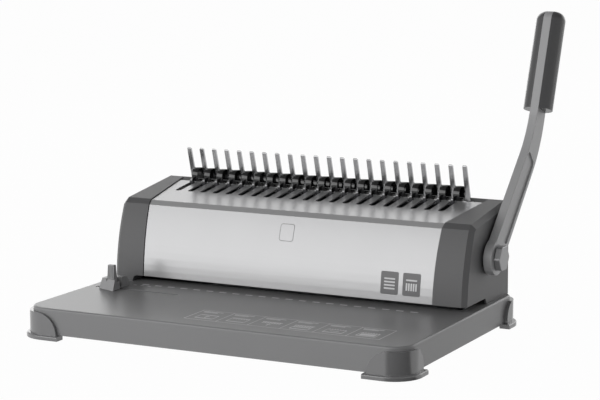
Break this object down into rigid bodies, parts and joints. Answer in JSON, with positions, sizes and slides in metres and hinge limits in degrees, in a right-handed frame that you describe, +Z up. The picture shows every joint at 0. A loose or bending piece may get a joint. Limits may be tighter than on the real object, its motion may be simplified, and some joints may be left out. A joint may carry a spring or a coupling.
{
  "type": "comb binding machine",
  "caption": "Desktop comb binding machine with a side lever that punches paper and opens a plastic comb held on a row of steel tines.",
  "frame": {"origin": "middle of the machine's box, on the desk", "axes": "+X along the row of tines towards the lever, +Y towards the back, +Z up"},
  "size_m": [0.4076, 0.364, 0.2943],
  "materials": {
    "base_plastic": "dark grey textured powder coat",
    "cap_plastic": "dark grey fine texture",
    "foot_plastic": "dark grey moulded",
    "cover_paint": "light silver grey satin paint",
    "bright_steel": "satin nickel",
    "frame_steel": "zinc plated sheet",
    "tool_steel": "ground tool steel",
    "bush_bronze": "sintered bronze",
    "slider_plastic": "natural acetal",
    "lever_paint": "mid grey satin paint",
    "grip_plastic": "dark grey satin gloss",
    "pad_rubber": "soft black rubber",
    "comb_plastic": "black semi gloss vinyl",
    "guide_plastic": "dark grey moulded",
    "tray_plastic": "dark grey moulded",
    "spring_steel": "oiled spring wire",
    "screw_steel": "zinc plated"
  },
  "bodies": {
    "machine_frame": {"base_tray": "base_plastic", "bottom_plate": "frame_steel", "front_left_foot": "foot_plastic", "front_right_foot": "foot_plastic", "rear_left_foot": "foot_plastic", "rear_right_foot": "foot_plastic", "foot_pads": "pad_rubber", "foot_screws": "screw_steel", "right_end_cap": "cap_plastic", "left_end_cap": "cap_plastic", "front_cover": "cover_paint", "rear_cover": "cap_plastic", "rear_screws": "screw_steel", "right_side_frame": "frame_steel", "left_side_frame": "frame_steel", "frame_screws": "screw_steel", "front_tie_rod": "frame_steel", "die_plate": "tool_steel", "paper_stop": "frame_steel", "stripper_plate": "tool_steel", "guide_posts": "tool_steel", "return_springs": "spring_steel", "shaft_bushes": "bush_bronze", "hook_guides": "slider_plastic", "tine_plate": "bright_steel", "tine_rail": "frame_steel", "tine_screws": "screw_steel"},
    "lever": {"lever_arm": "lever_paint", "inner_grip_half": "grip_plastic", "outer_grip_half": "grip_plastic", "grip_screws": "screw_steel", "lever_washer": "bright_steel", "lever_bolt": "bright_steel", "main_shaft": "tool_steel", "shaft_clip": "bright_steel", "hub_spacer": "frame_steel", "punch_pinions": "tool_steel", "hook_pinions": "tool_steel"},
    "punch_carriage": {"punch_bar": "tool_steel", "punch_pins": "tool_steel", "punch_racks": "tool_steel"},
    "hook_carriage": {"hook_plate": "tool_steel", "hook_racks": "tool_steel"},
    "comb": {"plastic_comb": "comb_plastic"},
    "guide": {"edge_guide": "guide_plastic", "guide_clamp": "guide_plastic", "guide_lock_pin": "screw_steel"},
    "guide_tab": {"guide_lock_tab": "guide_plastic"},
    "tray": {"chip_tray": "tray_plastic"}
  },
  "joints": [
    {"name": "lever_hinge", "type": "hinge", "parent": "machine_frame", "child": "lever", "pos_m": [0.1893, 0.02569, 0.0741], "axis": [1, 0, 0], "range_deg": [0, 100]},
    {"name": "punch_slide", "type": "slide", "parent": "machine_frame", "child": "punch_carriage", "axis": [0, 0, -1], "range_m": [0, 0.0155], "stiffness_N_per_m": 2500, "springref_m": -0.004, "deforming": ["return_springs"]},
    {"name": "hook_slide", "type": "slide", "parent": "machine_frame", "child": "hook_carriage", "axis": [0, -0.9914, -0.1305], "range_m": [0, 0.0245]},
    {"name": "comb_lift", "type": "slide", "parent": "machine_frame", "child": "comb", "axis": [0, -0.2974, 0.9548], "range_m": [0, 0.045]},
    {"name": "guide_slide", "type": "slide", "parent": "machine_frame", "child": "guide", "axis": [1, 0, 0], "range_m": [-0.006, 0.064]},
    {"name": "guide_tab_hinge", "type": "hinge", "parent": "guide", "child": "guide_tab", "pos_m": [-0.16672, -0.07161, 0.0345], "axis": [-1, 0, 0], "range_deg": [0, 25], "stiffness_Nm_per_rad": 0.03, "springref_deg": -5.73},
    {"name": "tray_slide", "type": "slide", "parent": "machine_frame", "child": "tray", "axis": [-1, 0, 0], "range_m": [0, 0.24]}
  ],
  "couplings": [
    {"joint": "punch_slide", "follows": "lever_hinge", "m_per_rad": 0.00875},
    {"joint": "hook_slide", "follows": "lever_hinge", "m_per_rad": 0.01375}
  ]
}
